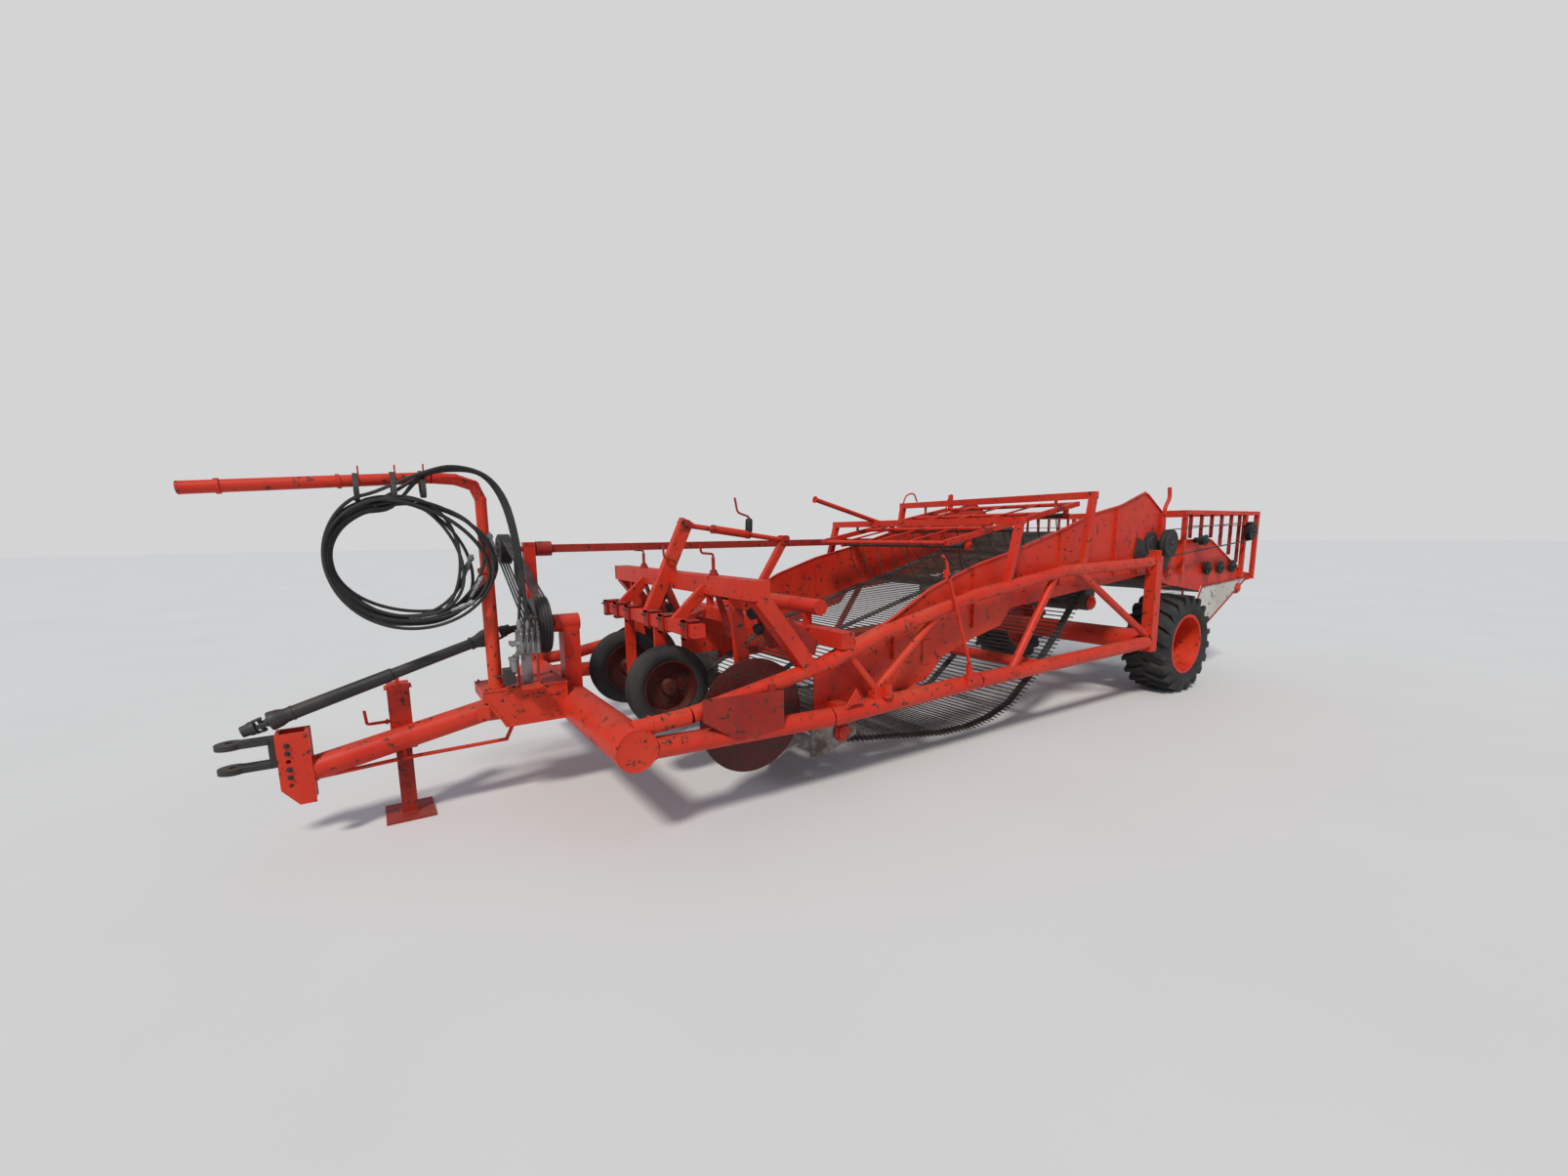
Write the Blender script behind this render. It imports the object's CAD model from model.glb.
# %% [markdown]
# # A towed potato harvester
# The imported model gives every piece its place: the welded chassis, the walls, the wheels and the
# joints. This file dresses it. Each part below first says what the real thing is, how it could be
# made, and why it is made this way.

# %% Load the frame
import math

import bmesh
import bpy
import numpy as np
from mathutils import Matrix


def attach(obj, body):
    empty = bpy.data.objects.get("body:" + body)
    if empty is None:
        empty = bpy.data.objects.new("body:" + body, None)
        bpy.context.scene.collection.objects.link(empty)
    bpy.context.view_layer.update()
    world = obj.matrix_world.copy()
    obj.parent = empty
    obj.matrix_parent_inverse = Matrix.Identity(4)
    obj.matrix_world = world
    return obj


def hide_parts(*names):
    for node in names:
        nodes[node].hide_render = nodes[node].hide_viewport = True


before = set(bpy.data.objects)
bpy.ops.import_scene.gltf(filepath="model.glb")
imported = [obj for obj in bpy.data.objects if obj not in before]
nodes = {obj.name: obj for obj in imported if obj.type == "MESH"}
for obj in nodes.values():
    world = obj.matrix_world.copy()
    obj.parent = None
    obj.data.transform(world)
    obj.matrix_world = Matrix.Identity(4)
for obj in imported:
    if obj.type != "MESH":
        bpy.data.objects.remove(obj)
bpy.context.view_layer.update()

# %% [markdown]
# ## Camera
# The photograph was taken with a very wide lens from beside the hitch, at eye height. Two
# vanishing points fix its direction. The horizon lies under the middle of the picture, which a
# small vertical shift of the lens reproduces without tilting the machine.

# %% Camera
SHIFT_X = -4.445          # the hitch pin's x in the frame
IMAGE_W = 1606
FOCAL_PX = 642.0
PRINCIPAL_DROP_PX = 41.0
EYE = (0.66 + SHIFT_X, -4.0, 1.6)
HEADING, PITCH, ROLL = -33.31, -8.66, -0.65

camera_data = bpy.data.cameras.new("camera")
camera_data.sensor_width = 36.0
camera_data.lens = FOCAL_PX / IMAGE_W * camera_data.sensor_width
camera_data.shift_y = PRINCIPAL_DROP_PX / IMAGE_W
camera_data.clip_end = 300.0
camera = bpy.data.objects.new("camera", camera_data)
bpy.context.collection.objects.link(camera)
camera.location = EYE
camera.rotation_euler = (math.radians(90 + PITCH), 0.0, math.radians(HEADING))
bpy.context.view_layer.update()
camera.matrix_world = camera.matrix_world @ Matrix.Rotation(math.radians(ROLL), 4, "Z")
bpy.context.scene.camera = camera
print("lens", round(camera_data.lens, 2), "mm")

# %% [markdown]
# ## Light, floor and backdrop
# Soft daylight shows painted steel best: a broad sun for the form, a pale sky for the shade side,
# and a pale floor that keeps the shadow. The floor and the sky share one colour, so no line is
# seen between them, and a Light Path node shows that colour only to the camera.

# %% Light, floor and backdrop
scene = bpy.context.scene
scene.view_settings.view_transform = "Standard"
PALE = (0.66, 0.66, 0.67, 1.0)
FLOOR_HALF = 90.0


def lamp(name, kind, energy, location, rotation, **settings):
    """A light with its settings, turned by three angles in degrees."""
    data = bpy.data.lights.new(name, kind)
    data.energy = energy
    for key, value in settings.items():
        setattr(data, key, value)
    made = bpy.data.objects.new(name, data)
    made.location = location
    made.rotation_euler = [math.radians(a) for a in rotation]
    bpy.context.collection.objects.link(made)
    return made


lamp("sun", "SUN", 2.3, (-6, -8, 9), (38, -18, -30), angle=math.radians(9),
     color=(1.0, 0.965, 0.91))

world = bpy.data.worlds.new("sky")
scene.world = world
world.use_nodes = True
sky_nodes, sky_links = world.node_tree.nodes, world.node_tree.links
sky_nodes.clear()
sky_out = sky_nodes.new("ShaderNodeOutputWorld")
sky_mix = sky_nodes.new("ShaderNodeMixShader")
sky_light = sky_nodes.new("ShaderNodeBackground")
sky_seen = sky_nodes.new("ShaderNodeBackground")
sky_path = sky_nodes.new("ShaderNodeLightPath")
sky_light.inputs["Color"].default_value = (0.74, 0.82, 0.95, 1.0)
sky_light.inputs["Strength"].default_value = 0.5
sky_seen.inputs["Color"].default_value = PALE
sky_links.new(sky_path.outputs["Is Camera Ray"], sky_mix.inputs[0])
sky_links.new(sky_light.outputs[0], sky_mix.inputs[1])
sky_links.new(sky_seen.outputs[0], sky_mix.inputs[2])
sky_links.new(sky_mix.outputs[0], sky_out.inputs[0])

floor_mesh = bpy.data.meshes.new("floor")
floor_mesh.from_pydata([(-FLOOR_HALF, -FLOOR_HALF, 0), (FLOOR_HALF, -FLOOR_HALF, 0),
                        (FLOOR_HALF, FLOOR_HALF, 0), (-FLOOR_HALF, FLOOR_HALF, 0)],
                       [], [(0, 1, 2, 3)])
floor = bpy.data.objects.new("floor", floor_mesh)
bpy.context.collection.objects.link(floor)

# %% [markdown]
# ## Shader sums in plain Python
# A material is a graph of nodes, and wiring each Math node by hand hides the idea. The class below
# wraps one socket, so that a mask reads as a sum, and one method adds any other node.


# %% Shader sums
class Val:
    """A shader value that takes part in Python sums."""

    def __init__(self, finish, socket):
        self.finish, self.socket = finish, socket

    def sum(self, operation, a, b):
        return self.finish.add("ShaderNodeMath", {"operation": operation}, {0: a, 1: b})

    def __add__(self, other):
        return self.sum("ADD", self, other)

    def __sub__(self, other):
        return self.sum("SUBTRACT", self, other)

    def __rsub__(self, other):
        return self.sum("SUBTRACT", other, self)

    def __mul__(self, other):
        return self.sum("MULTIPLY", self, other)

    __radd__, __rmul__ = __add__, __mul__


class Finish:
    """A material under construction, with one Principled shader."""

    def __init__(self, name):
        self.material = bpy.data.materials.new(name)
        self.material.use_nodes = True
        self.tree = self.material.node_tree
        self.tree.nodes.clear()
        self.shader = self.tree.nodes.new("ShaderNodeBsdfPrincipled")
        out = self.tree.nodes.new("ShaderNodeOutputMaterial")
        self.tree.links.new(self.shader.outputs[0], out.inputs[0])
        self.place = self.add("ShaderNodeTexCoord", {}, {}, "Object")

    def set(self, socket, value):
        """Gives a socket a number, a colour or another socket's value."""
        if isinstance(value, Val):
            self.tree.links.new(value.socket, socket)
        elif isinstance(value, (tuple, list)):
            socket.default_value = [*value, 1.0][:len(socket.default_value)]
        else:
            socket.default_value = value

    def add(self, kind, settings, sockets, out=0):
        """Adds a node: its settings first, then its sockets, and returns one output."""
        node = self.tree.nodes.new(kind)
        for key, value in settings.items():
            if key == "stops":
                ramp = node.color_ramp
                while len(ramp.elements) < len(value):
                    ramp.elements.new(0.5)
                for element, (position, level) in zip(ramp.elements, value):
                    element.position = position
                    element.color = (level, level, level, 1.0)
            else:
                setattr(node, key, value)
        for key, value in sockets.items():
            self.set(node.inputs[key], value)
        return Val(self, node.outputs[out])

    def noise(self, scale, detail=4.0, rough=0.55, stretch=(1, 1, 1)):
        """Cloudy noise from 0 to 1, stretched along the axes."""
        where = self.add("ShaderNodeMapping", {}, {"Vector": self.place, "Scale": stretch})
        return self.add("ShaderNodeTexNoise", {},
                        {"Vector": where, "Scale": scale, "Detail": detail, "Roughness": rough})

    def step(self, value, low, high):
        """0 below low, 1 above high, straight between."""
        return self.add("ShaderNodeValToRGB", {"stops": [(low, 0.0), (high, 1.0)]}, {"Fac": value})

    def mix(self, factor, a, b):
        """Colour a where the factor is 0, colour b where it is 1."""
        return self.add("ShaderNodeMix", {"data_type": "RGBA"}, {0: factor, 6: a, 7: b}, 2)

    def upward(self):
        """1 on faces that look up, 0 on the others."""
        normal = self.add("ShaderNodeNewGeometry", {}, {}, "Normal")
        return self.add("ShaderNodeSeparateXYZ", {}, {"Vector": normal}, "Z")

    def bump(self, value, distance, strength=1.0):
        """Raises the surface where the value is high."""
        lifted = self.add("ShaderNodeBump", {}, {"Height": value, "Distance": distance,
                                                "Strength": strength})
        self.set(self.shader.inputs["Normal"], lifted)

    def surface(self, **inputs):
        """Sets the shader's own sockets by name, with _ for a space."""
        for key, value in inputs.items():
            self.set(self.shader.inputs[key.replace("_", " ")], value)
        return self.material


print("shader helpers ready")

# %% [markdown]
# ## Finishes
# The machine has been painted over more than once, then left in the sun and dragged through wet
# soil. So the paint is four layers: the coat, its faded patches, chips that show dark metal, and
# dust that settles on top faces and low down. The same recipe gives every painted piece its own
# mood by its numbers.

# %% Paint
SOIL = (0.20, 0.135, 0.085)
RUST = (0.115, 0.040, 0.018)
DARK_METAL = (0.035, 0.030, 0.028)


def painted(name, coat, faded, chips=0.60, dust=0.35, roughness=0.38):
    """A worn coat: colour by large clouds, chips by sharp noise, dust by the way a face looks."""
    f = Finish(name)
    clouds = f.step(f.noise(1.7, 5.0), 0.38, 0.66)
    fine = f.noise(55.0, 6.0, 0.65)
    runs = f.step(f.noise(6.0, 5.0, 0.6, (1.0, 1.0, 0.16)), 0.52, 0.72)
    chip = f.step(f.noise(21.0, 9.0, 0.72), chips, chips + 0.035)
    edge = f.step(f.noise(21.0, 9.0, 0.72), chips - 0.03, chips)
    settled = f.step(f.upward(), 0.35, 0.95) * f.step(f.noise(3.1, 6.0, 0.6), 0.40, 0.70)
    colour = f.mix(clouds, coat, faded)
    colour = f.mix(runs * 0.28, colour, (coat[0] * 0.35, coat[1] * 0.35, coat[2] * 0.35))
    colour = f.mix(edge * 0.65, colour, RUST)
    colour = f.mix(chip, colour, DARK_METAL)
    colour = f.mix(settled * dust, colour, SOIL)
    f.bump(fine * 0.35 - chip, 0.0012, 0.5)
    return f.surface(Base_Color=colour, Metallic=chip * 0.5,
                     Roughness=roughness + fine * 0.22 + settled * 0.25,
                     Specular_IOR_Level=0.38)


# %% Bare steel, rubber and the rest
def bare(name, steel, stain, roughness=0.42, metal=0.85):
    """Rubbed steel with stains where soil dried on it."""
    f = Finish(name)
    stains = f.step(f.noise(7.0, 7.0, 0.65), 0.42, 0.62)
    fine = f.noise(90.0, 5.0, 0.6)
    f.bump(fine, 0.0008, 0.45)
    return f.surface(Base_Color=f.mix(stains, steel, stain), Metallic=metal - stains * 0.75 * metal,
                     Roughness=roughness + stains * 0.35 + fine * 0.1)


def rubbery(name, rubber, dusty, roughness=0.62, amount=0.5):
    """Matt rubber, dustier where the noise gathers."""
    f = Finish(name)
    patches = f.step(f.noise(5.0, 8.0, 0.68), 0.42, 0.72)
    fine = f.noise(140.0, 4.0, 0.6)
    f.bump(fine + patches * 0.4, 0.0007, 0.5)
    return f.surface(Base_Color=f.mix(patches * amount, rubber, dusty),
                     Roughness=roughness + fine * 0.2)


finish = {
    "red_paint": painted("red_paint", (0.60, 0.020, 0.005), (0.64, 0.045, 0.014)),
    "dark_red_paint": painted("dark_red_paint", (0.30, 0.012, 0.006), (0.38, 0.028, 0.014),
                              chips=0.585, dust=0.45, roughness=0.46),
    "worn_steel": bare("worn_steel", (0.30, 0.28, 0.26), (0.105, 0.075, 0.055)),
    "dark_steel": bare("dark_steel", (0.075, 0.070, 0.066), (0.120, 0.080, 0.055), 0.40, 0.7),
    "soiled_paint": painted("soiled_paint", (0.085, 0.008, 0.006), (0.045, 0.012, 0.009),
                            chips=0.56, dust=0.5, roughness=0.45),
    "black_metal": painted("black_metal", (0.018, 0.018, 0.020), (0.040, 0.038, 0.036),
                           chips=0.63, dust=0.30, roughness=0.42),
    "black_rubber": rubbery("black_rubber", (0.016, 0.016, 0.017), (0.085, 0.075, 0.065),
                            amount=0.4),
    "belt_rubber": rubbery("belt_rubber", (0.022, 0.022, 0.023), (0.150, 0.125, 0.100), amount=0.6),
    "tyre": rubbery("tyre", (0.017, 0.017, 0.018), (0.095, 0.083, 0.070), 0.66, 0.45),
    "white_sheet": painted("white_sheet", (0.62, 0.60, 0.56), (0.50, 0.46, 0.40), chips=0.60,
                           dust=0.5, roughness=0.5),
    "grey_metal": bare("grey_metal", (0.34, 0.34, 0.35), (0.16, 0.14, 0.12), 0.38, 0.9),
}
print(len(finish), "finishes")


# %% Finish the solids that keep their shape
NODE_FINISH = {
    "guide_gang": "red_paint", "adjusters": "red_paint", "gearbox": "dark_red_paint",
    "long_shaft": "dark_red_paint", "jack_leg": "dark_red_paint", "disc_left": "soiled_paint",
    "disc_right": "soiled_paint", "guide_sheet": "dark_red_paint",
    "shares": "worn_steel", "rollers": "dark_steel",
    "tine_bar_front": "dark_steel", "tine_bar_middle": "dark_steel",
    "tine_bar_rear": "dark_steel", "pulleys": "black_metal", "pto_shaft": "black_metal",
    "drive_belts": "belt_rubber", "hitch_clevis": "black_metal", "valve_block": "grey_metal",
    "discharge_panels": "white_sheet", "digging_web": "dark_steel", "rear_web": "dark_steel",
    "tyre_left": "tyre", "tyre_right": "tyre", "guide_wheel_left": "tyre",
    "guide_wheel_right": "tyre", "hose_coil": "black_rubber", "hose_tails": "black_rubber",
}
for node_name, solid in nodes.items():
    solid.data.materials.clear()
    solid.data.materials.append(finish[NODE_FINISH.get(node_name, "red_paint")])
floor_finish = Finish("floor_finish")
floor.data.materials.append(floor_finish.surface(
    Base_Color=floor_finish.mix(floor_finish.noise(0.6, 3.0), (0.66, 0.65, 0.63),
                                (0.72, 0.71, 0.69)),
    Roughness=0.9))
print(len(nodes), "solids finished")

# %% [markdown]
# ## Shapes as arrays
# Every new piece is a skin over a grid of points. A turned part is a profile carried round an
# axis, and a pipe is a section carried along a path. Both are worked out as whole arrays, which is
# quick, exact and easy to read. The points are in millimetres from the hitch pin, as a drawing has
# them, and become metres in the frame when the piece is made.

# %% Shape helpers
HITCH_TO_MIDDLE = 4445.0
SHARP_ANGLE = math.radians(34)
FRAME_Y, WALL_Y, REAR_Y = 1080.0, 976.0, 996.0   # side tubes, outer wall faces, rear posts
MAST_X, MAST_Y = 1210.0, -100.0
ARM_END, ARM_SLOPE = (970.0, 1910.0), 0.08       # the mast's arm: x and z of its high end


def arm_height(x):
    """Height of the mast's arm at x, in the middle of its pipe."""
    return ARM_END[1] - (ARM_END[0] - x) * ARM_SLOPE


def unit(v):
    """Directions scaled to length 1, along the last axis."""
    v = np.asarray(v, float)
    return v / np.maximum(np.linalg.norm(v, axis=-1, keepdims=True), 1e-12)


def square_to(axis):
    """Two directions square to an axis and to each other."""
    axis = unit(axis)
    helper = np.array([0.0, 0.0, 1.0]) if abs(axis[2]) < 0.9 else np.array([1.0, 0.0, 0.0])
    e = unit(np.cross(axis, helper))
    return e, np.cross(axis, e)


def round_section(diameter, sides):
    """A circle as (side, lift) points."""
    a = np.linspace(0, 2 * math.pi, sides, endpoint=False)
    return diameter / 2 * np.stack([np.cos(a), np.sin(a)], 1)


def box_section(width, depth, chamfer):
    """A rectangle with cut corners as (side, lift) points."""
    w, d, c = width / 2, depth / 2, chamfer
    return np.array([[w, c - d], [w, d - c], [w - c, d], [c - w, d],
                     [-w, d - c], [-w, c - d], [c - w, -d], [w - c, -d]])


def rounded(points, radius, steps=6):
    """A path whose inner corners are arcs: each corner becomes a quadratic curve between the
    points that lie the radius before and after it."""
    points = np.asarray(points, float)
    t = np.linspace(0, 1, steps)[:, None]
    path = [points[:1]]
    for before, corner, after in zip(points[:-2], points[1:-1], points[2:]):
        reach = min(radius, np.linalg.norm(corner - before) / 2.05,
                    np.linalg.norm(after - corner) / 2.05)
        a = corner + reach * unit(before - corner)
        b = corner + reach * unit(after - corner)
        path.append((1 - t) ** 2 * a + 2 * t * (1 - t) * corner + t ** 2 * b)
    return np.concatenate(path + [points[-1:]])


def tangents(path, closed=False):
    """The direction of a path at each of its points, from its neighbours."""
    if closed:
        return unit(np.roll(path, -1, 0) - np.roll(path, 1, 0))
    return unit(np.gradient(path, axis=0))


class Shape:
    """Surfaces gathered for one piece."""

    def __init__(self):
        self.points, self.faces, self.count = [], [], 0

    def skin(self, grid, closed=False):
        """A skin over grid[ring, place, xyz]. Each ring closes on itself. The first and last
        rings are joined where closed is true, and get a flat face each where it is not."""
        n, m = grid.shape[:2]
        ring = self.count + np.arange(n if closed else n - 1)[:, None] * m
        ahead = self.count + ((np.arange(n if closed else n - 1) + 1) % n)[:, None] * m
        here, there = np.arange(m), (np.arange(m) + 1) % m
        quads = np.stack([ring + here, ring + there, ahead + there, ahead + here], -1)
        self.faces += quads.reshape(-1, 4).tolist()
        if not closed:
            self.faces.append((self.count + np.arange(m)[::-1]).tolist())
            self.faces.append((self.count + (n - 1) * m + np.arange(m)).tolist())
        self.points.append(grid.reshape(-1, 3))
        self.count += n * m
        return self

    def turned(self, profile, centre, axis=(0, 1, 0), sides=32, closed=False):
        """A profile of (along, radius) turned round an axis: centre + along * axis
        + radius * (cos a * e + sin a * f)."""
        profile = np.asarray(profile, float)
        axis, (e, f) = unit(axis), square_to(axis)
        a = np.linspace(0, 2 * math.pi, sides, endpoint=False)
        spoke = np.cos(a)[:, None] * e + np.sin(a)[:, None] * f
        grid = np.asarray(centre, float) + profile[:, 0, None, None] * axis \
            + profile[:, 1, None, None] * spoke
        return self.skin(grid, closed)

    def carried(self, path, section, up=(0, 1, 0), closed=False):
        """A section of (side, lift) carried along a path: side = tangent x up, and
        lift = side x tangent."""
        path = np.asarray(path, float)
        t = tangents(path, closed)
        side = unit(np.cross(t, np.asarray(up, float)))
        lift = np.cross(side, t)
        section = np.asarray(section, float)
        if section.ndim == 2:
            section = np.broadcast_to(section, (len(path), *section.shape))
        grid = (path[:, None] + section[..., 0, None] * side[:, None]
                + section[..., 1, None] * lift[:, None])
        return self.skin(grid, closed)

    def pipe(self, path, diameter, sides=14, up=(0, 1, 0), closed=False):
        """A round bar along a path."""
        return self.carried(path, round_section(diameter, sides), up, closed)

    def bent(self, points, radius, diameter, sides=14, up=(0, 1, 0)):
        """A round bar that is bent to a radius at each inner point."""
        return self.pipe(rounded(points, radius), diameter, sides, up)

    def rod(self, a, b, diameter, sides=14):
        """A straight round bar."""
        a, b = np.asarray(a, float), np.asarray(b, float)
        r, reach = diameter / 2, np.linalg.norm(b - a)
        return self.turned([[0, r], [reach, r]], a, b - a, sides)

    def bar(self, a, b, width, depth, chamfer=3.0, up=(0, 1, 0)):
        """A straight square bar, width across its up direction."""
        return self.carried([a, b], box_section(depth, width, chamfer), up)

    def slab(self, outline, y0, y1, chamfer=1.5):
        """A plate of an (x, z) outline from y0 to y1, with its edges broken: the outline is
        moved inwards by the chamfer at both faces."""
        outline = np.asarray(outline, float)
        u = unit(outline - np.roll(outline, 1, 0))
        v = unit(np.roll(outline, -1, 0) - outline)
        inward = np.stack([-(u + v)[:, 1], (u + v)[:, 0]], 1)
        inward /= np.maximum(np.sum((u + v) ** 2, 1, keepdims=True) / 2, 0.3)
        turn = np.sign(np.sum(u[:, 0] * v[:, 1] - u[:, 1] * v[:, 0]))
        small = outline + chamfer * turn * inward
        y0, y1 = sorted((y0, y1))
        stack = [(small, y0), (outline, y0 + chamfer), (outline, y1 - chamfer), (small, y1)]
        grid = np.array([np.stack([o[:, 0], np.full(len(o), y), o[:, 1]], 1) for o, y in stack])
        return self.skin(grid)

    def bolt(self, centre, axis=(0, -1, 0), size=16.0, stud=True):
        """A washer, a hexagon head and, where stud is true, the end of its thread."""
        washer = np.array([[0, 1.05], [0.16, 1.05]])
        head = np.array([[0.16, 0.82], [0.7, 0.87], [0.82, 0.72]])
        thread = np.array([[0.8, 0.45], [1.25, 0.45], [1.35, 0.36]])
        for profile, sides in ((washer, 16), (head, 6), (thread, 10))[:3 if stud else 2]:
            self.turned(size * profile, centre, axis, sides)
        return self

    def bolt_ring(self, centre, axis, along, radius, count, size, first=0.0, stud=True):
        """Bolts at equal angles round an axis, the first one at the angle first."""
        e, f = square_to(axis)
        foot = np.asarray(centre, float) + along * unit(axis)
        for a in first + 2 * math.pi * np.arange(count) / count:
            self.bolt(foot + radius * (math.cos(a) * e + math.sin(a) * f), axis, size, stud)
        return self

    def weld(self, centre, axis, radius, bead=5.0):
        """A weld bead round a tube: a ring whose thickness ripples as the welder's hand moves."""
        e, f = square_to(axis)
        count = int(max(40, radius * 1.2))
        a = np.linspace(0, 2 * math.pi, count, endpoint=False)
        spoke = np.cos(a)[:, None] * e + np.sin(a)[:, None] * f
        path = np.asarray(centre, float) + radius * spoke
        ripple = 1 + 0.22 * np.sin(a * count / 4) + 0.12 * np.sin(a * 7)
        section = round_section(2 * bead, 7)[None] * ripple[:, None, None]
        return self.carried(path, section, axis, True)

    def piece(self, name, look, slot, body="chassis", replaces=()):
        """The finished Blender object: in metres, normals outward, sharp edges kept sharp."""
        points = np.concatenate(self.points)
        points[:, 0] -= HITCH_TO_MIDDLE
        mesh = bpy.data.meshes.new(name)
        mesh.from_pydata((points / 1000).tolist(), [], self.faces)
        shell = bmesh.new()
        shell.from_mesh(mesh)
        bmesh.ops.remove_doubles(shell, verts=shell.verts, dist=1e-6)
        bmesh.ops.dissolve_degenerate(shell, edges=shell.edges, dist=1e-7)
        bmesh.ops.recalc_face_normals(shell, faces=shell.faces)
        shell.to_mesh(mesh)
        shell.free()
        mesh.polygons.foreach_set("use_smooth", np.ones(len(mesh.polygons), bool))
        mesh.set_sharp_from_angle(angle=SHARP_ANGLE)
        made = bpy.data.objects.new(name, mesh)
        bpy.context.collection.objects.link(made)
        mesh.materials.append(finish[look])
        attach(made, body)
        if replaces:
            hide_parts(*replaces)
        print(name, len(mesh.polygons), "faces")
        return made


# %% [markdown]
# ## Hydraulic hoses
# Four thin hoses leave the valve block, climb over the mast's bend and hang in loops under its
# arm, held by straps, until the tractor takes their couplings. Each is one path: a smooth run up
# from the block, then an ellipse that is walked three times while it drifts a little, as a hose
# does that somebody hung up by hand.

# %% Hoses
HOSE_D = 17.0
LOOP_LEFT, LOOP_MIDDLE_Z = 476.0, 1474.0
LOOP_HALF = np.array([292.0, 352.0])
LOOP_Y = -178.0
TURNS = 3
EXIT = np.array([1385.0, -195.0, 1096.0])


def smooth_path(points, steps):
    """A curve through points: cubic between each two, its slope taken from their neighbours."""
    p = np.asarray(points, float)
    p = np.concatenate([2 * p[:1] - p[1:2], p, 2 * p[-1:] - p[-2:-1]])
    t = np.linspace(0, 1, steps, endpoint=False)[None, :, None]
    a, b, c, d = (p[i:len(p) - 3 + i, None] for i in range(4))
    curve = 0.5 * (2 * b + (c - a) * t + (2 * a - 5 * b + 4 * c - d) * t ** 2
                   + (3 * b - a - 3 * c + d) * t ** 3)
    return np.concatenate([curve.reshape(-1, 3), p[-2:-1]])


def length_of(path):
    """The length of a path, in its own unit."""
    return float(np.linalg.norm(np.diff(path, axis=0), axis=1).sum())


for k in range(4):
    start = EXIT + [0, (k % 2) * 38 - 45, 0] if k < 2 else EXIT + [-42 + 84 * (k % 2), -22, 0]
    shift = (k - 1.5) * 19
    climb = [start, start + [0, 0, 40], [1383 - k * 9, -192 + shift * 0.5, 1330],
             [1372 - k * 7, -188 + shift * 0.4, 1560], [1330 - k * 8, -172 + shift * 0.3, 1790],
             [1235 - k * 6, -168 + shift * 0.3, 1925], [1080, -170 + shift * 0.5, 1966 - k * 6],
             [930, -176 + shift * 0.8, 1925 - k * 6]]
    a = np.linspace(math.radians(-6), math.radians(-6 - 360 * TURNS + 150 - 22 * k), TURNS * 14)
    drift = np.linspace(0, 1, len(a))
    wide = LOOP_HALF[0] + 88 * np.sin(2.3 * drift * math.pi + 1.3 * k) ** 2
    high = LOOP_HALF[1] - 10 * k - 52 * np.sin(1.7 * drift * math.pi + 1.7 * k) ** 2 - 6
    loops = np.stack([LOOP_LEFT + 9 * k + wide * (1 - np.sin(-a + 0.06)),
                      LOOP_Y + shift + 9 * np.sin(3 * a / 2 + k),
                      LOOP_MIDDLE_Z + high * np.cos(a) - 14 * (1 - np.cos(a)) * 0.5 + 8], 1)
    path = smooth_path(np.concatenate([climb, loops]), 5)
    coupling = Shape()
    coupling.turned([[-26, 15], [-24, 17], [20, 17], [24, 11], [34, 11]], start, (0, 0, 1), 12)
    end, way = path[-1], unit(path[-1] - path[-4])
    coupling.turned([[-44, 0], [-44, 10.5], [-2, 10.5], [0, 15], [30, 15], [32, 12], [52, 12],
                          [54, 17], [74, 17], [76, 9], [86, 9], [86, 0]], end, way, 12)
    fittings = coupling.piece(f"hose_coupling_{k + 1}", "grey_metal", "grey_metal")
    hose = Shape().pipe(path, HOSE_D, 10).piece(
        f"hose_{k + 1}", "black_rubber", "black_rubber",
        replaces=("hose_coil", "hose_tails") if k == 0 else ())
    metres = (path - [HITCH_TO_MIDDLE, 0, 0]) / 1000
    round(length_of(metres), 3)
    print(f"hose {k + 1}: {length_of(metres):.2f} m")

straps = Shape()
for x in (640.0, 800.0, 930.0):
    arm_z = arm_height(x)
    loop = np.array([[x, -100 - 36, arm_z + 14], [x, -100, arm_z + 36], [x, -64, arm_z + 8],
                     [x, -80, arm_z - 60], [x, -130, arm_z - 100], [x, -200, arm_z - 100],
                     [x, -222, arm_z - 62], [x, -200, arm_z - 20]])
    around = smooth_path(np.concatenate([loop, loop[:1]]), 6)[:-1]
    straps.carried(around, box_section(3, 24, 0.8), (1, 0, 0), True)
straps.piece("hose_straps", "belt_rubber", "black_rubber")

# %% [markdown]
# ## The rod webs
# A digging web is two or three rubber belts with a steel rod riveted across them every 40 mm or
# so, so that soil falls through and potatoes stay on. The belt's line is one closed path round the
# rollers. Points at equal steps along it give every rod its place, and the belts are sections
# carried along the same path, thicker where a rod is riveted on.

# %% Web line
WEB_HALF = 925.0
ROD_PITCH = 42.0
BELT_Y = (-855.0, 0.0, 855.0)


def arc(centre, radius, start, end, count=12):
    """Points on a circle round (x, z), by angle in degrees."""
    a = np.radians(np.linspace(start, end, count + 1))
    return np.stack([centre[0] + radius * np.cos(a), centre[1] + radius * np.sin(a)], 1)


def evenly(line, pitch):
    """Points at equal steps along a closed line, by interpolating x and z over its length."""
    closed = np.concatenate([line, line[:1]])
    run = np.concatenate([[0], np.cumsum(np.linalg.norm(np.diff(closed, axis=0), axis=1))])
    count = int(round(run[-1] / pitch))
    s = np.arange(count) * run[-1] / count
    return np.stack([np.interp(s, run, closed[:, 0]), np.interp(s, run, closed[:, 1])], 1)


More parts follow.
